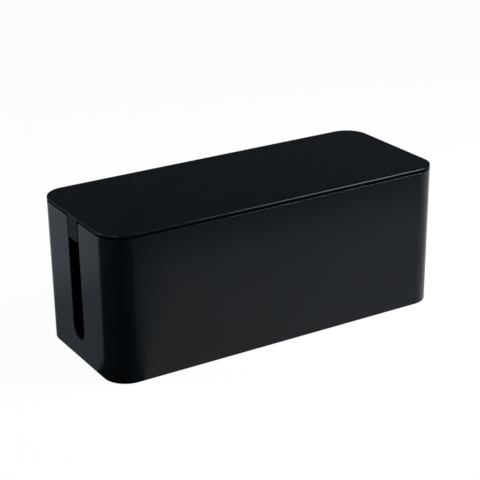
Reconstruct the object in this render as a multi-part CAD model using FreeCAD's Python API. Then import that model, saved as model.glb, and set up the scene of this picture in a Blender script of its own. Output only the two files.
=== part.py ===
import FreeCAD, Part
import os

# A cable management box: an open tub on four feet and a lid that lifts off.
# X runs along the box, Y from front to rear, Z up. The origin is on the
# surface that the box stands on, under its middle.

# Outside of the box, with the lid on
box_length = 400.0
box_width = 162.0
box_height = 159.0          # from the tub's base to the top of the lid
corner_radius = 26.0        # upright corners, at the rim
wall_draft = 0.8            # how far each wall leans in from rim to base

# Tub moulding
wall = 2.6
floor_thickness = 3.0
floor_radius = 3.0          # where the walls meet the floor inside
base_edge_radius = 0.8
rim_edge_bevel = 0.5        # the softened edge that runs round the rim and down the slots

# Lid moulding
lid_thickness = 2.6
lid_edge_radius = 0.8
shadow_gap = 2.0            # height of the dark line between lid and rim
shadow_depth = 1.3          # how far that line is set in
skirt_depth = 8.0           # how far the skirt reaches below the rim
skirt_wall = 2.0
skirt_taper = 0.3           # lead-in of the skirt, per side
skirt_clearance = 0.4       # between skirt and wall, per side

# Cable slots, one in each end
slot_width = 25.0
slot_bottom = 22.0          # lowest point of the slot above the base
slot_mouth_radius = 3.0     # rounding where the slot runs out at the rim

# Tongues that hang from the lid and close the top of the slots
tongue_drop = 24.0          # below the lid plate
tongue_gap = 2.0            # each side of the tongue
tongue_root_radius = 3.0
tongue_corner_radius = 1.0

# Rubber feet, pressed into recesses under the floor
foot_diameter = 14.0
foot_thickness = 2.0
foot_stand = 1.0            # how far a foot stands out of the base
foot_edge_bevel = 0.4
foot_fit = 0.2              # round the foot in its recess, per side
foot_inset_x = 36.0         # foot centre from the end of the base
foot_inset_y = 32.0         # foot centre from the side of the base

cut_margin = 5.0            # how far a cutting shape runs past what it cuts

base_z = foot_stand
floor_z = base_z + floor_thickness
top_z = base_z + box_height
plate_z = top_z - lid_thickness
rim_z = plate_z - shadow_gap
skirt_z = rim_z - skirt_depth
tongue_z = plate_z - tongue_drop


def vec(x, y, z):
    return FreeCAD.Vector(x, y, z)


def line(start, end):
    return Part.LineSegment(start, end).toShape()


def arc(start, middle, end):
    return Part.Arc(start, middle, end).toShape()


def outline(inset, z):
    """Rounded rectangle, set in from the outside of the box, at height z."""
    half_x = box_length / 2 - inset
    half_y = box_width / 2 - inset
    radius = corner_radius - inset
    diagonal = radius * 0.5 ** 0.5
    x = half_x - radius
    y = half_y - radius
    edges = [line(vec(-x, -half_y, z), vec(x, -half_y, z)),
             arc(vec(x, -half_y, z), vec(x + diagonal, -y - diagonal, z), vec(half_x, -y, z)),
             line(vec(half_x, -y, z), vec(half_x, y, z)),
             arc(vec(half_x, y, z), vec(x + diagonal, y + diagonal, z), vec(x, half_y, z)),
             line(vec(x, half_y, z), vec(-x, half_y, z)),
             arc(vec(-x, half_y, z), vec(-x - diagonal, y + diagonal, z), vec(-half_x, y, z)),
             line(vec(-half_x, y, z), vec(-half_x, -y, z)),
             arc(vec(-half_x, -y, z), vec(-x - diagonal, -y - diagonal, z), vec(-x, -half_y, z))]
    return Part.Wire(edges)


def lean(z):
    """How far the outside of the tub is set in at height z."""
    return wall_draft * (rim_z - z) / (rim_z - base_z)


def tapered(low_inset, low_z, high_inset, high_z):
    return Part.makeLoft([outline(low_inset, low_z), outline(high_inset, high_z)], True, True)


def edges_at(shape, z):
    """Edges of a shape that lie flat at height z."""
    return [edge for edge in shape.Edges
            if abs(edge.BoundBox.ZMin - z) < 1e-4 and abs(edge.BoundBox.ZMax - z) < 1e-4]


def slot_passage():
    """A U that is open at the top, run through both ends of the tub."""
    half = slot_width / 2
    centre_z = base_z + slot_bottom + half
    radius = slot_mouth_radius
    turn = radius * (1 - 0.5 ** 0.5)
    x = -box_length / 2 - cut_margin
    top = rim_z + cut_margin
    edges = [line(vec(x, -half - radius, top), vec(x, -half - radius, rim_z)),
             arc(vec(x, -half - radius, rim_z), vec(x, -half - turn, rim_z - turn),
                 vec(x, -half, rim_z - radius)),
             line(vec(x, -half, rim_z - radius), vec(x, -half, centre_z)),
             arc(vec(x, -half, centre_z), vec(x, 0, centre_z - half), vec(x, half, centre_z)),
             line(vec(x, half, centre_z), vec(x, half, rim_z - radius)),
             arc(vec(x, half, rim_z - radius), vec(x, half + turn, rim_z - turn),
                 vec(x, half + radius, rim_z)),
             line(vec(x, half + radius, rim_z), vec(x, half + radius, top)),
             line(vec(x, half + radius, top), vec(x, -half - radius, top))]
    face = Part.Face(Part.Wire(edges))
    return face.extrude(vec(box_length + 2 * cut_margin, 0, 0))


def foot_places():
    """Name and centre of each foot."""
    x = box_length / 2 - wall_draft - foot_inset_x
    y = box_width / 2 - wall_draft - foot_inset_y
    return {"foot_front_left": (-x, -y),
            "foot_front_right": (x, -y),
            "foot_rear_left": (-x, y),
            "foot_rear_right": (x, y)}


def mouth_edges(shape):
    """The edges round the tub's mouth, outside and inside, with the slots."""
    chosen = []
    for edge in shape.Edges:
        box = edge.BoundBox
        on_rim = abs(box.ZMin - rim_z) < 1e-4
        in_slot = (box.YMin > -slot_width / 2 - slot_mouth_radius - 0.01
                   and box.YMax < slot_width / 2 + slot_mouth_radius + 0.01
                   and box.ZMin > floor_z + floor_radius)
        across_wall = box.XMax - box.XMin > wall * 0.8 and box.YMax - box.YMin < 0.01
        if (on_rim or in_slot) and not across_wall:
            chosen.append(edge)
    return chosen


def make_tub():
    shell = tapered(wall_draft, base_z, 0.0, rim_z)
    shell = shell.makeFillet(base_edge_radius, edges_at(shell, base_z))
    cavity_top = rim_z + cut_margin
    cavity = tapered(wall + lean(floor_z), floor_z, wall + lean(cavity_top), cavity_top)
    cavity = cavity.makeFillet(floor_radius, edges_at(cavity, floor_z))
    tub = shell.cut(cavity).cut(slot_passage())
    tub = tub.makeChamfer(rim_edge_bevel, mouth_edges(tub))
    recess_depth = foot_thickness - foot_stand
    for x, y in foot_places().values():
        recess = Part.makeCylinder(foot_diameter / 2 + foot_fit, recess_depth, vec(x, y, base_z))
        tub = tub.cut(recess)
    return tub


def tongue_profile(x):
    """The tongue seen from the end, with its fillets into the lid plate."""
    half = slot_width / 2 - tongue_gap
    root = tongue_root_radius
    corner = tongue_corner_radius
    root_turn = root * (1 - 0.5 ** 0.5)
    corner_turn = corner * (1 - 0.5 ** 0.5)
    edges = [line(vec(x, -half - root, plate_z), vec(x, half + root, plate_z)),
             arc(vec(x, half + root, plate_z), vec(x, half + root_turn, plate_z - root_turn),
                 vec(x, half, plate_z - root)),
             line(vec(x, half, plate_z - root), vec(x, half, tongue_z + corner)),
             arc(vec(x, half, tongue_z + corner), vec(x, half - corner_turn, tongue_z + corner_turn),
                 vec(x, half - corner, tongue_z)),
             line(vec(x, half - corner, tongue_z), vec(x, -half + corner, tongue_z)),
             arc(vec(x, -half + corner, tongue_z),
                 vec(x, -half + corner_turn, tongue_z + corner_turn),
                 vec(x, -half, tongue_z + corner)),
             line(vec(x, -half, tongue_z + corner), vec(x, -half, plate_z - root)),
             arc(vec(x, -half, plate_z - root), vec(x, -half - root_turn, plate_z - root_turn),
                 vec(x, -half - root, plate_z))]
    return Part.Face(Part.Wire(edges))


def make_lid():
    plate = Part.Face(outline(0.0, plate_z)).extrude(vec(0, 0, lid_thickness))
    plate = plate.makeFillet(lid_edge_radius, edges_at(plate, top_z))
    land = Part.Face(outline(shadow_depth, rim_z)).extrude(vec(0, 0, shadow_gap))
    skirt_out = wall + skirt_clearance
    skirt = tapered(skirt_out + skirt_taper, skirt_z, skirt_out, rim_z)
    skirt_in = skirt_out + skirt_taper + skirt_wall
    hollow = tapered(skirt_in, skirt_z - cut_margin, skirt_in, plate_z)
    tongue_depth = skirt_out + skirt_taper + skirt_wall / 2
    left = tongue_profile(-box_length / 2).extrude(vec(tongue_depth, 0, 0))
    right = tongue_profile(box_length / 2).extrude(vec(-tongue_depth, 0, 0))
    frame = land.fuse(skirt).cut(hollow)
    return plate.fuse([frame, left, right]).removeSplitter()


def make_foot(x, y):
    radius = foot_diameter / 2
    bevel = foot_edge_bevel
    tread = Part.makeCone(radius - bevel, radius, bevel, vec(x, y, 0))
    body = Part.makeCylinder(radius, foot_thickness - bevel, vec(x, y, bevel))
    return tread.fuse(body).removeSplitter()


def save(shape, name):
    solid = shape.Solids[0] if len(shape.Solids) == 1 else shape
    solid.exportStep("parts/" + name + ".step")
    box = solid.BoundBox
    print(name, "valid", solid.isValid(), "solids", len(solid.Solids),
          "volume", round(solid.Volume), "height", round(box.ZMin, 2), round(box.ZMax, 2))


os.makedirs("parts", exist_ok=True)
save(make_tub(), "tub")
save(make_lid(), "lid")
for foot_name, (foot_x, foot_y) in foot_places().items():
    save(make_foot(foot_x, foot_y), foot_name)
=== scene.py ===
import bpy
from math import atan2, cos, pi, radians, sin
from mathutils import Matrix, Vector


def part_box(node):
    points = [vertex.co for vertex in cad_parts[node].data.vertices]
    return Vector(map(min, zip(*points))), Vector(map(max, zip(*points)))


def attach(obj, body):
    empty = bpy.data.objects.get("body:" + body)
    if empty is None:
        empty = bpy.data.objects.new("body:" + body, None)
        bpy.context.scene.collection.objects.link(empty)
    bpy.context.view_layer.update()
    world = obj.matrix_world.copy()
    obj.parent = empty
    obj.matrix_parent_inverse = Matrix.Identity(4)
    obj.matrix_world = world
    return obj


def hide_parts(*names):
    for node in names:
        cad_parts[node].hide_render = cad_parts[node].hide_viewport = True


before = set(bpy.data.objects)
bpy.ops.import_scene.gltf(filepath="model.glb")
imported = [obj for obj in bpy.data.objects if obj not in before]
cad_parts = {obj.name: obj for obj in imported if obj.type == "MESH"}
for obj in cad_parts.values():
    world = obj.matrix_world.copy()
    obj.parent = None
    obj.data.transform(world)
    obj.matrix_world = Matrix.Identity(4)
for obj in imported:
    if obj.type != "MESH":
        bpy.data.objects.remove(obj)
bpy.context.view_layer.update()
nodeBoxes = {name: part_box(name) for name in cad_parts}
tubLow, tubHigh = [Vector(corner) for corner in nodeBoxes["tub"]]
lidLow, lidHigh = [Vector(corner) for corner in nodeBoxes["lid"]]
print("frame loaded")

mm = 0.001
near = 0.001 * mm           # places closer than this are the same
nearCut = 0.01 * mm         # the same after a cut, which is less exact
mergeWithin = 0.002 * mm    # vertices closer than this become one
roundSides = 64             # of every turned shape


# helpers
def deselectAll():
    if bpy.context.object and bpy.context.object.mode != "OBJECT":
        bpy.ops.object.mode_set(mode="OBJECT")
    bpy.ops.object.select_all(action="DESELECT")


def onlyActive(piece):
    deselectAll()
    piece.select_set(True)
    bpy.context.view_layer.objects.active = piece


def selectBy(piece, kind, test):
    # picks faces, edges or vertices by their place, and leaves edit mode on
    onlyActive(piece)
    bpy.ops.object.mode_set(mode="EDIT")
    bpy.ops.mesh.select_mode(type=kind)
    bpy.ops.mesh.select_all(action="DESELECT")
    bpy.ops.object.mode_set(mode="OBJECT")
    mesh = piece.data
    items = {"FACE": mesh.polygons, "EDGE": mesh.edges, "VERT": mesh.vertices}[kind]
    count = 0
    for item in items:
        if test(item):
            item.select = True
            count += 1
    bpy.ops.object.mode_set(mode="EDIT")
    return count


def edgeEnds(piece, edge):
    return [piece.data.vertices[index].co for index in edge.vertices]


def addBlock(name, low, high):
    # a cube at its size and place, with that place in its mesh
    deselectAll()
    bpy.ops.mesh.primitive_cube_add(size=1, location=(low + high) / 2, scale=high - low)
    piece = bpy.context.object
    piece.name = name
    piece.data.name = name
    bpy.ops.object.transform_apply(location=True, rotation=True, scale=True)
    return piece


def roundUprights(piece, radius, steps):
    def upright(edge):
        a, b = edgeEnds(piece, edge)
        return abs(a.x - b.x) < near and abs(a.y - b.y) < near
    selectBy(piece, "EDGE", upright)
    bpy.ops.mesh.bevel(offset=radius, offset_type="OFFSET", segments=steps, profile=0.5)
    bpy.ops.object.mode_set(mode="OBJECT")


def selectLevelFace(piece, z, up):
    # the flat face at height z that looks up or down
    def level(face):
        return abs(face.center.z - z) < near and face.normal.z * up > 0.99
    return selectBy(piece, "FACE", level)


def extrudeTo(distance):
    # moves the chosen face straight up or down and makes its sides
    bpy.ops.mesh.extrude_region_move(TRANSFORM_OT_translate={"value": (0, 0, distance)})


def slimBy(low, high, inset):
    # draws the chosen face in by the same amount on every side
    scaleX = 1 - 2 * inset / (high.x - low.x)
    scaleY = 1 - 2 * inset / (high.y - low.y)
    bpy.ops.transform.resize(value=(scaleX, scaleY, 1), center_override=(0, 0, 0))


def useModifier(piece, kind, **settings):
    onlyActive(piece)
    modifier = piece.modifiers.new(kind.lower(), kind)
    for key, value in settings.items():
        setattr(modifier, key, value)
    bpy.ops.object.modifier_apply(modifier=modifier.name)


def cutOrJoin(piece, tool, operation):
    useModifier(piece, "BOOLEAN", operation=operation, object=tool, solver="EXACT")
    bpy.data.objects.remove(tool, do_unlink=True)


def finishSurface(piece, angle=30):
    # clean, closed and smooth, with the flat faces kept flat
    onlyActive(piece)
    bpy.ops.object.mode_set(mode="EDIT")
    bpy.ops.mesh.select_mode(type="VERT")
    bpy.ops.mesh.select_all(action="SELECT")
    bpy.ops.mesh.remove_doubles(threshold=mergeWithin)
    bpy.ops.mesh.normals_make_consistent(inside=False)
    bpy.ops.object.mode_set(mode="OBJECT")
    onlyActive(piece)
    bpy.ops.object.shade_smooth_by_angle(angle=radians(angle))
    useModifier(piece, "WEIGHTED_NORMAL", keep_sharp=True, weight=80)


# the tub; its outer size comes from the frame
tub = {
    "cornerRadius": 26.0 * mm,
    "cornerSteps": 32,
    "draft": 0.8 * mm,          # lean of each wall from rim to base
    "wall": 2.6 * mm,
    "floor": 3.0 * mm,
    "floorRadius": 3.0 * mm,
    "floorSteps": 6,
    "baseEdge": 0.8 * mm,
    "baseSteps": 4,
    "softEdge": 0.5 * mm,
    "softSteps": 3,
    "softAngle": 40,            # degrees; edges that turn by more are softened
    "slotWidth": 25.0 * mm,
    "slotBottom": 22.0 * mm,    # above the base
    "slotSteps": 28,
    "slotMouth": 3.0 * mm,
    "mouthSteps": 8,
}


def makeTub():
    height = tubHigh.z - tubLow.z
    body = addBlock("tubShell", tubLow, tubHigh)
    roundUprights(body, tub["cornerRadius"], tub["cornerSteps"])

    # the walls lean in a little towards the base
    selectLevelFace(body, tubLow.z, -1)
    slimBy(tubLow, tubHigh, tub["draft"])

    # hollow: inset the top by the wall and push it down to the floor
    selectLevelFace(body, tubHigh.z, 1)
    bpy.ops.mesh.inset(thickness=tub["wall"], depth=0)
    depth = height - tub["floor"]
    extrudeTo(-depth)
    inner = tub["wall"] * Vector((1, 1, 0))
    slimBy(tubLow + inner, tubHigh - inner, tub["draft"] * depth / height)
    bpy.ops.mesh.bevel(offset=tub["floorRadius"], segments=tub["floorSteps"], profile=0.5)
    bpy.ops.object.mode_set(mode="OBJECT")

    selectLevelFace(body, tubLow.z, -1)
    bpy.ops.mesh.bevel(offset=tub["baseEdge"], segments=tub["baseSteps"], profile=0.5)
    bpy.ops.object.mode_set(mode="OBJECT")
    print("tub shell shaped")

    cutSlots(body)
    cutFootSeats(body)
    useModifier(body, "BEVEL", width=tub["softEdge"], segments=tub["softSteps"],
                limit_method="ANGLE", angle_limit=radians(tub["softAngle"]),
                harden_normals=False, use_clamp_overlap=True)
    finishSurface(body)
    return body


def cutSlots(body):
    # one U-shaped bar through both ends
    half = tub["slotWidth"] / 2
    reach = 10 * mm
    bottom = tubLow.z + tub["slotBottom"]
    bar = addBlock("slotBar", Vector((tubLow.x - reach, -half, bottom)),
                   Vector((tubHigh.x + reach, half, tubHigh.z + reach)))

    def lowLengthwise(edge):
        a, b = edgeEnds(bar, edge)
        return abs(a.z - bottom) < near and abs(b.z - bottom) < near and abs(a.x - b.x) > reach
    selectBy(bar, "EDGE", lowLengthwise)
    # a hair under half the width, so that the two rounds don't meet
    bpy.ops.mesh.bevel(offset=half * 0.9999, segments=tub["slotSteps"], profile=0.5)
    bpy.ops.object.mode_set(mode="OBJECT")
    cutOrJoin(body, bar, "DIFFERENCE")

    # round the corners where each slot runs out at the rim
    def mouthCorner(edge):
        a, b = edgeEnds(body, edge)
        acrossWall = abs(a.x - b.x) > tub["wall"] / 2 and abs(a.y - b.y) < nearCut
        atRim = abs(a.z - tubHigh.z) < nearCut and abs(b.z - tubHigh.z) < nearCut
        return acrossWall and atRim and abs(abs(a.y) - half) < nearCut
    found = selectBy(body, "EDGE", mouthCorner)
    bpy.ops.mesh.bevel(offset=tub["slotMouth"], segments=tub["mouthSteps"], profile=0.5)
    bpy.ops.object.mode_set(mode="OBJECT")
    print("slots cut,", found, "mouth corners rounded")


def footNodes():
    return sorted(name for name in nodeBoxes if name.startswith("foot_"))


def cutFootSeats(body):
    for name in footNodes():
        low, high = [Vector(corner) for corner in nodeBoxes[name]]
        middle = (low + high) / 2
        radius = (high.x - low.x) / 2 + foot["fit"]
        deselectAll()
        bpy.ops.mesh.primitive_cylinder_add(vertices=roundSides, radius=radius,
                                            depth=2 * (high.z - tubLow.z),
                                            location=(middle.x, middle.y, tubLow.z))
        plug = bpy.context.object
        bpy.ops.object.transform_apply(location=True, rotation=True, scale=True)
        cutOrJoin(body, plug, "DIFFERENCE")
    print("foot seats cut")


lid = {
    "thickness": 2.6 * mm,
    "topEdge": 0.8 * mm,
    "topSteps": 4,
    "lowerEdge": 0.25 * mm,
    "lowerSteps": 2,
    "lowerAngle": 50,           # degrees, as the tub's softAngle
    "gapHeight": 2.0 * mm,
    "gapDepth": 1.3 * mm,
    "skirtClearance": 0.4 * mm,
    "skirtTaper": 0.3 * mm,
    "skirtWall": 2.0 * mm,
    "skirtDepth": 8.0 * mm,     # below the rim
    "tongueGap": 2.0 * mm,
    "tongueRoot": 3.0 * mm,
    "tongueCorner": 1.0 * mm,
    "tongueSteps": 5,
    "rootOverlap": 0.5 * mm,    # of each fillet block with the tongue that it joins
}


def makeLid():
    plateLow = Vector((lidLow.x, lidLow.y, lidHigh.z - lid["thickness"]))
    plate = addBlock("lidShell", plateLow, lidHigh)
    roundUprights(plate, tub["cornerRadius"], tub["cornerSteps"])

    # set-in land that makes the dark line, then the skirt inside the walls
    selectLevelFace(plate, plateLow.z, -1)
    bpy.ops.mesh.inset(thickness=lid["gapDepth"], depth=0)
    extrudeTo(-lid["gapHeight"])
    skirtOut = tub["wall"] + lid["skirtClearance"]
    bpy.ops.mesh.inset(thickness=skirtOut - lid["gapDepth"], depth=0)
    extrudeTo(-lid["skirtDepth"])
    around = skirtOut * Vector((1, 1, 0))
    slimBy(lidLow + around, lidHigh - around, lid["skirtTaper"])
    bpy.ops.mesh.inset(thickness=lid["skirtWall"], depth=0)
    extrudeTo(lid["skirtDepth"] + lid["gapHeight"])
    bpy.ops.object.mode_set(mode="OBJECT")

    # soften the top edge
    selectLevelFace(plate, lidHigh.z, 1)
    bpy.ops.mesh.bevel(offset=lid["topEdge"], segments=lid["topSteps"], profile=0.5)
    bpy.ops.object.mode_set(mode="OBJECT")
    print("lid plate, land and skirt shaped")

    depth = skirtOut + lid["skirtTaper"] + lid["skirtWall"] / 2
    for side in (-1, 1):
        cutOrJoin(plate, makeTongue(side, plateLow.z, depth), "UNION")
    useModifier(plate, "BEVEL", width=lid["lowerEdge"], segments=lid["lowerSteps"],
                limit_method="ANGLE", angle_limit=radians(lid["lowerAngle"]),
                harden_normals=False, use_clamp_overlap=True)
    finishSurface(plate)
    return plate


def makeTongue(side, plateZ, depth):
    # a bar as wide as its root, drawn in below by the root's fillets
    half = tub["slotWidth"] / 2 - lid["tongueGap"]
    root = lid["tongueRoot"]
    outer = side * lidHigh.x
    inner = side * (lidHigh.x - depth)
    overlap = lid["thickness"] / 2
    low = Vector((min(outer, inner), -half, lidLow.z))
    high = Vector((max(outer, inner), half, plateZ + overlap))
    tongue = addBlock("tongue", low, high)

    def bottomCorner(edge):
        a, b = edgeEnds(tongue, edge)
        atBottom = abs(a.z - lidLow.z) < near and abs(b.z - lidLow.z) < near
        return atBottom and abs(a.x - b.x) > depth / 2
    selectBy(tongue, "EDGE", bottomCorner)
    bpy.ops.mesh.bevel(offset=lid["tongueCorner"], segments=lid["tongueSteps"], profile=0.5)
    bpy.ops.object.mode_set(mode="OBJECT")

    # fillet blocks at the root, each with a quarter round cut away
    for way in (-1, 1):
        yNear = way * (half - lid["rootOverlap"])
        yFar = way * (half + root)
        block = addBlock("root", Vector((low.x, min(yNear, yFar), plateZ - root)),
                         Vector((high.x, max(yNear, yFar), plateZ + overlap)))
        deselectAll()
        bpy.ops.mesh.primitive_cylinder_add(vertices=roundSides, radius=root, depth=depth * 3,
                                            location=((low.x + high.x) / 2, yFar, plateZ - root),
                                            rotation=(0, pi / 2, 0))
        roller = bpy.context.object
        bpy.ops.object.transform_apply(location=True, rotation=True, scale=True)
        cutOrJoin(block, roller, "DIFFERENCE")
        cutOrJoin(tongue, block, "UNION")
    return tongue


foot = {
    "fit": 0.2 * mm,            # round the foot in its seat
    "edge": 0.4 * mm,
    "edgeSteps": 4,
    "grooveIn": 1.6 * mm,
    "grooveWide": 0.8 * mm,
    "grooveDeep": 0.35 * mm,
}


def makeFoot(name):
    low, high = [Vector(corner) for corner in nodeBoxes[name]]
    middle = (low + high) / 2
    radius = (high.x - low.x) / 2
    deselectAll()
    bpy.ops.mesh.primitive_cylinder_add(vertices=roundSides, radius=radius, depth=high.z - low.z,
                                        location=(middle.x, middle.y, middle.z))
    pad = bpy.context.object
    pad.name = name.replace("foot_", "rubberFoot_")
    pad.data.name = pad.name
    bpy.ops.object.transform_apply(location=True, rotation=True, scale=True)
    selectLevelFace(pad, low.z, -1)
    bpy.ops.mesh.bevel(offset=foot["edge"], segments=foot["edgeSteps"], profile=0.5)
    bpy.ops.object.mode_set(mode="OBJECT")

    # a ring groove in the tread
    selectLevelFace(pad, low.z, -1)
    bpy.ops.mesh.inset(thickness=foot["grooveIn"], depth=0)
    bpy.ops.mesh.inset(thickness=foot["grooveWide"], depth=0)
    bpy.ops.object.mode_set(mode="OBJECT")
    ringOut = radius - foot["edge"] - foot["grooveIn"]
    ringIn = ringOut - foot["grooveWide"]

    def inRing(face):
        reach = (face.center - middle).to_2d().length
        return abs(face.center.z - low.z) < near and ringIn < reach < ringOut
    found = selectBy(pad, "FACE", inRing)
    extrudeTo(foot["grooveDeep"])
    bpy.ops.object.mode_set(mode="OBJECT")
    finishSurface(pad, 35)
    print(pad.name, "made,", found, "groove faces sunk")
    return pad


# materials
def newMaterial(name):
    material = bpy.data.materials.new(name)
    material.use_nodes = True
    nodes = material.node_tree.nodes
    return material, nodes, material.node_tree.links, nodes["Principled BSDF"]


def noiseOn(nodes, links, scale, detail, rough=0.5):
    coords = nodes.new("ShaderNodeTexCoord")
    noise = nodes.new("ShaderNodeTexNoise")
    noise.inputs["Scale"].default_value = scale
    noise.inputs["Detail"].default_value = detail
    noise.inputs["Roughness"].default_value = rough
    links.new(coords.outputs["Object"], noise.inputs["Vector"])
    return noise


noiseSpan = (0.3, 0.7)      # most of a noise pattern lies between these


def spread(nodes, links, source, low, high):
    # turns a 0 to 1 pattern into a narrow range
    mapper = nodes.new("ShaderNodeMapRange")
    mapper.inputs["From Min"].default_value = noiseSpan[0]
    mapper.inputs["From Max"].default_value = noiseSpan[1]
    mapper.inputs["To Min"].default_value = low
    mapper.inputs["To Max"].default_value = high
    links.new(source, mapper.inputs["Value"])
    return mapper.outputs["Result"]


tubFinish = {
    "colourDark": (0.0048, 0.0070, 0.0090, 1),
    "colourLight": (0.0062, 0.0086, 0.0108, 1),
    "roughLow": 0.22,
    "roughHigh": 0.28,
    "ior": 1.25,
}

# the lid's colours are a darker copy of the tub's plastic: painted shade that offsets the
# stronger light on the lid's top
lidFinishWithPaintedShade = {
    "colourDark": (0.0024, 0.0033, 0.0042, 1),
    "colourLight": (0.0031, 0.0041, 0.0050, 1),
    "roughLow": 0.34,
    "roughHigh": 0.41,
    "ior": 1.11,
}

# what both mouldings share
plastic = {
    "cloudScale": 24,
    "cloudDetail": 4,
    "rubScale": 60,
    "rubDetail": 6,
    "rubGain": 0.7,
    "grainScale": 2600,
    "grainDetail": 2,
    "grainHeight": 0.004 * mm,
    "grainStrength": 0.3,
    "flowScale": 9,
    "flowDetail": 1,
    "flowHeight": 0.05 * mm,
    "flowStrength": 0.25,
    "edgeShine": 0.7,           # rounded edges are rubbed smooth
    "edgeRough": 0.2,
    "edgeRise": (0.40, 0.65),   # how far a surface looks up where that shine starts
    "edgeFall": (0.95, 0.80),   # and where it ends
}


def ramp(nodes, links, source, low, high):
    # rises from 0 at low to 1 at high, or falls where high is the smaller
    mapper = nodes.new("ShaderNodeMapRange")
    mapper.inputs["From Min"].default_value = low
    mapper.inputs["From Max"].default_value = high
    links.new(source, mapper.inputs["Value"])
    return mapper.outputs["Result"]


def multiplied(nodes, links, first, second):
    product = nodes.new("ShaderNodeMath")
    product.operation = "MULTIPLY"
    links.new(first, product.inputs[0])
    if isinstance(second, float):
        product.inputs[1].default_value = second
    else:
        links.new(second, product.inputs[1])
    return product.outputs["Value"]


def onUpperEdges(nodes, links):
    # one where the surface rolls over between upright and level
    shape = nodes.new("ShaderNodeNewGeometry")
    split = nodes.new("ShaderNodeSeparateXYZ")
    links.new(shape.outputs["Normal"], split.inputs["Vector"])
    rise = ramp(nodes, links, split.outputs["Z"], *plastic["edgeRise"])
    fall = ramp(nodes, links, split.outputs["Z"], *plastic["edgeFall"])
    return multiplied(nodes, links, rise, fall)


def blackPlastic(name, finish):
    # satin moulded plastic: fine spark-worn grain, a slow ripple, faint rub marks
    material, nodes, links, shader = newMaterial(name)
    cloud = noiseOn(nodes, links, plastic["cloudScale"], plastic["cloudDetail"])
    tint = nodes.new("ShaderNodeMix")
    tint.data_type = "RGBA"
    tint.inputs["A"].default_value = finish["colourDark"]
    tint.inputs["B"].default_value = finish["colourLight"]
    links.new(spread(nodes, links, cloud.outputs["Fac"], 0, 1), tint.inputs["Factor"])
    links.new(tint.outputs["Result"], shader.inputs["Base Color"])

    rub = noiseOn(nodes, links, plastic["rubScale"], plastic["rubDetail"], plastic["rubGain"])
    rough = spread(nodes, links, rub.outputs["Fac"], finish["roughLow"], finish["roughHigh"])
    links.new(rough, shader.inputs["Roughness"])
    shader.inputs["IOR"].default_value = finish["ior"]
    shine = multiplied(nodes, links, onUpperEdges(nodes, links), plastic["edgeShine"])
    links.new(shine, shader.inputs["Coat Weight"])
    shader.inputs["Coat Roughness"].default_value = plastic["edgeRough"]

    flow = noiseOn(nodes, links, plastic["flowScale"], plastic["flowDetail"])
    ripple = nodes.new("ShaderNodeBump")
    ripple.inputs["Strength"].default_value = plastic["flowStrength"]
    ripple.inputs["Distance"].default_value = plastic["flowHeight"]
    links.new(flow.outputs["Fac"], ripple.inputs["Height"])
    grain = noiseOn(nodes, links, plastic["grainScale"], plastic["grainDetail"])
    fine = nodes.new("ShaderNodeBump")
    fine.inputs["Strength"].default_value = plastic["grainStrength"]
    fine.inputs["Distance"].default_value = plastic["grainHeight"]
    links.new(grain.outputs["Fac"], fine.inputs["Height"])
    links.new(ripple.outputs["Normal"], fine.inputs["Normal"])
    links.new(fine.outputs["Normal"], shader.inputs["Normal"])
    return material


rubberFinish = {
    "colourDark": (0.010, 0.010, 0.010, 1),
    "colourDusty": (0.020, 0.019, 0.018, 1),
    "roughLow": 0.70,
    "roughHigh": 0.85,
    "dustScale": 400,
    "dustDetail": 5,
    "dustGain": 0.7,
    "poreStrength": 0.4,
    "poreDepth": 0.02 * mm,
}


def blackRubber():
    material, nodes, links, shader = newMaterial("footRubber")
    dust = noiseOn(nodes, links, rubberFinish["dustScale"],
                   rubberFinish["dustDetail"], rubberFinish["dustGain"])
    tint = nodes.new("ShaderNodeMix")
    tint.data_type = "RGBA"
    tint.inputs["A"].default_value = rubberFinish["colourDark"]
    tint.inputs["B"].default_value = rubberFinish["colourDusty"]
    links.new(spread(nodes, links, dust.outputs["Fac"], 0, 1), tint.inputs["Factor"])
    links.new(tint.outputs["Result"], shader.inputs["Base Color"])
    rough = spread(nodes, links, dust.outputs["Fac"],
                   rubberFinish["roughLow"], rubberFinish["roughHigh"])
    links.new(rough, shader.inputs["Roughness"])
    pores = nodes.new("ShaderNodeBump")
    pores.inputs["Strength"].default_value = rubberFinish["poreStrength"]
    pores.inputs["Distance"].default_value = rubberFinish["poreDepth"]
    links.new(dust.outputs["Fac"], pores.inputs["Height"])
    links.new(pores.outputs["Normal"], shader.inputs["Normal"])
    return material


def dress(piece, material, body, node):
    piece.data.materials.clear()
    piece.data.materials.append(material)
    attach(piece, body)
    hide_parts(node)


tubShell = makeTub()
dress(tubShell, blackPlastic("tubPlastic", tubFinish), "tub", "tub")
print("tub done,", len(tubShell.data.polygons), "faces")

# the lid takes the darker copy of the plastic, with painted shade for its top
lidShell = makeLid()
dress(lidShell, blackPlastic("lidPlasticPaintedShade", lidFinishWithPaintedShade), "lid", "lid")
print("lid done,", len(lidShell.data.polygons), "faces")

rubber = blackRubber()
for footNode in footNodes():
    dress(makeFoot(footNode), rubber, "tub", footNode)
print("feet done")


# floor, light and camera
studio = {
    "floorRadius": 12.0,
    "floorSides": 128,
    "floorDrop": 0.1 * mm,      # the feet press on the floor, and their faces stay apart
    "backdropHeight": 1.6,      # hides the horizon in low views
    "floorPale": (0.80, 0.80, 0.80, 1),
    "floorBounce": (0.22, 0.22, 0.22, 1),
    "whiteShare": 0.95,         # share of plain white in the floor as it is seen and mirrored
    "skyLevel": 0.03,
    "skyColour": (0.74, 0.87, 1.0, 1),
}


def whereSeen(nodes, links):
    # one for the rays that see or mirror the floor, nothing for the light that it bounces
    path = nodes.new("ShaderNodeLightPath")
    total = path.outputs["Is Camera Ray"]
    for kind in ("Is Glossy Ray", "Is Transmission Ray"):
        larger = nodes.new("ShaderNodeMath")
        larger.operation = "MAXIMUM"
        links.new(total, larger.inputs[0])
        links.new(path.outputs[kind], larger.inputs[1])
        total = larger.outputs["Value"]
    return total


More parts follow.
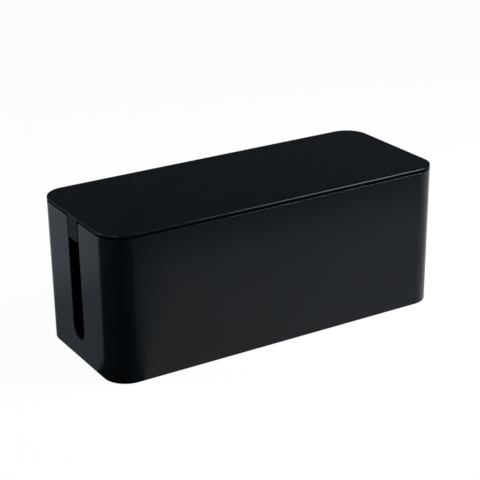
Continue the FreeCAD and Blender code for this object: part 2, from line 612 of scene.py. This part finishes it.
def makeFloor():
    # a pale floor that keeps the box's shadow, with a low round backdrop at its edge
    deselectAll()
    bpy.ops.mesh.primitive_circle_add(vertices=studio["floorSides"], radius=studio["floorRadius"],
                                      fill_type="NGON", location=(0, 0, -studio["floorDrop"]))
    ground = bpy.context.object
    ground.name = "paleFloor"
    bpy.ops.object.mode_set(mode="EDIT")
    bpy.ops.mesh.select_mode(type="EDGE")
    bpy.ops.mesh.select_all(action="SELECT")
    bpy.ops.mesh.region_to_loop()
    bpy.ops.mesh.extrude_edges_move(
        TRANSFORM_OT_translate={"value": (0, 0, studio["backdropHeight"])})
    bpy.ops.object.mode_set(mode="OBJECT")
    bpy.ops.object.transform_apply(location=True, rotation=True, scale=True)
    material, nodes, links, shader = newMaterial("paleFloor")
    nodes.remove(shader)
    seen = whereSeen(nodes, links)
    tint = nodes.new("ShaderNodeMix")
    tint.data_type = "RGBA"
    tint.inputs["A"].default_value = studio["floorBounce"]
    tint.inputs["B"].default_value = studio["floorPale"]
    links.new(seen, tint.inputs["Factor"])
    pale = nodes.new("ShaderNodeBsdfDiffuse")
    links.new(tint.outputs["Result"], pale.inputs["Color"])
    white = nodes.new("ShaderNodeEmission")
    floorMix = nodes.new("ShaderNodeMixShader")
    links.new(multiplied(nodes, links, seen, studio["whiteShare"]), floorMix.inputs["Fac"])
    links.new(pale.outputs["BSDF"], floorMix.inputs[1])
    links.new(white.outputs["Emission"], floorMix.inputs[2])
    links.new(floorMix.outputs["Shader"], nodes["Material Output"].inputs["Surface"])
    ground.data.materials.append(material)


# black and grey cards lie on the floor, hidden from the camera, from diffuse light and from
# shadows, so they show only as reflections in the plastic: painted shade in the reflections of
# the front left corner, the front and the end
shadeCards = {
    "corner": (-0.178, -0.060),     # the middle of the box's front left corner
    "reach": 0.55,
    "blackFan": (132, 298),         # degrees round from +X
    "greyFan": (94, 132),
    "sides": 180,
    "stripMiddle": (0.25, -0.80),
    "stripSize": (1.9, 0.86),
    "lift": 0.5 * mm,
    "black": (0.004, 0.004, 0.004, 1),
    "grey": (0.50, 0.51, 0.55, 1),
}


def setShadeCard(name, sheet, colour):
    sheet.name = name
    bpy.ops.object.transform_apply(location=True, rotation=True, scale=True)
    material, nodes, links, shader = newMaterial(name)
    shader.inputs["Base Color"].default_value = colour
    shader.inputs["Roughness"].default_value = 1.0
    shader.inputs["Specular IOR Level"].default_value = 0.0
    sheet.data.materials.append(material)
    # hidden from all but mirrored rays, so the sheet is only a painted reflection of shade
    sheet.visible_camera = False
    sheet.visible_diffuse = False
    sheet.visible_shadow = False


def makeShadeFanCard(name, fan, colour):
    deselectAll()
    middle = Vector((*shadeCards["corner"], shadeCards["lift"]))
    bpy.ops.mesh.primitive_circle_add(vertices=shadeCards["sides"], radius=shadeCards["reach"],
                                      fill_type="TRIFAN", location=middle)
    sheet = bpy.context.object
    setShadeCard(name, sheet, colour)
    start, end = [radians(angle) for angle in fan]

    def outsideFan(face):
        away = face.center - middle
        angle = atan2(away.y, away.x) % (2 * pi)
        return not start < angle < end
    selectBy(sheet, "FACE", outsideFan)
    bpy.ops.mesh.delete(type="FACE")
    bpy.ops.object.mode_set(mode="OBJECT")


def makeShadeCards():
    makeShadeFanCard("paintedShadeCornerCard", shadeCards["blackFan"], shadeCards["black"])
    makeShadeFanCard("paintedShadeEndCard", shadeCards["greyFan"], shadeCards["grey"])
    deselectAll()
    place = (*shadeCards["stripMiddle"], shadeCards["lift"])
    bpy.ops.mesh.primitive_plane_add(size=1, location=place)
    bpy.ops.transform.resize(value=(*shadeCards["stripSize"], 1), center_override=place)
    setShadeCard("paintedShadeFrontCard", bpy.context.object, shadeCards["black"])


def makeSky():
    # the dim studio above the floor
    world = bpy.data.worlds.new("studioSky")
    bpy.context.scene.world = world
    world.use_nodes = True
    sky = world.node_tree.nodes["Background"]
    sky.inputs["Color"].default_value = studio["skyColour"]
    sky.inputs["Strength"].default_value = studio["skyLevel"]


lampTint = (0.82, 0.93, 1.0)    # the photo's light is cool
lamps = {
    "keyRight": {"at": (0.82, -0.55, 0.98), "aim": (0.05, -0.05, 0.1), "size": 0.6, "power": 26},
    "overLeft": {"at": (-0.8, -0.2, 1.75), "aim": (-0.1, 0, 0.1), "size": 0.3, "power": 11},
    "leftRear": {"at": (-1.3, 0.8, 0.8), "aim": (-0.2, 0, 0.1), "size": 0.8, "power": 12},
}


def makeLamp(name, lamp):
    deselectAll()
    place = Vector(lamp["at"])
    turn = (Vector(lamp["aim"]) - place).to_track_quat("-Z", "Y").to_euler()
    bpy.ops.object.light_add(type="AREA", location=place, rotation=turn)
    light = bpy.context.object
    light.name = name
    light.data.shape = "SQUARE"
    light.data.size = lamp["size"]
    light.data.energy = lamp["power"]
    light.data.color = lampTint


# fitted to the photo's outline
view = {
    "azimuth": -31.16,
    "elevation": 21.94,
    "roll": 0.73,
    "distance": 1.5444,
    "lens": 107.35,
    "aimAcross": -0.0043,
    "aimHeight": 0.08926,
    "sensor": 36,
    "farClip": 100,
}


def makeCamera():
    azimuth, elevation, roll = [radians(view[key]) for key in ("azimuth", "elevation", "roll")]
    back = Vector((sin(azimuth) * cos(elevation), -cos(azimuth) * cos(elevation), sin(elevation)))
    right = Vector((cos(azimuth), sin(azimuth), 0))
    up = back.cross(right)
    aim = right * view["aimAcross"] + Vector((0, 0, view["aimHeight"]))
    tiltedRight = right * cos(roll) - up * sin(roll)
    tiltedUp = right * sin(roll) + up * cos(roll)
    turn = Matrix((tiltedRight, tiltedUp, back)).transposed()
    bpy.ops.object.camera_add(location=aim + back * view["distance"], rotation=turn.to_euler())
    eye = bpy.context.object
    eye.data.sensor_width = view["sensor"]
    eye.data.lens = view["lens"]
    eye.data.clip_end = view["farClip"]
    bpy.context.scene.camera = eye


makeFloor()
# black and grey sheets that paint shade into the plastic's reflections
makeShadeCards()
makeSky()
for lampName, lampFacts in lamps.items():
    makeLamp(lampName, lampFacts)
makeCamera()
bpy.context.scene.view_settings.view_transform = "Standard"
print("floor, light and camera set")
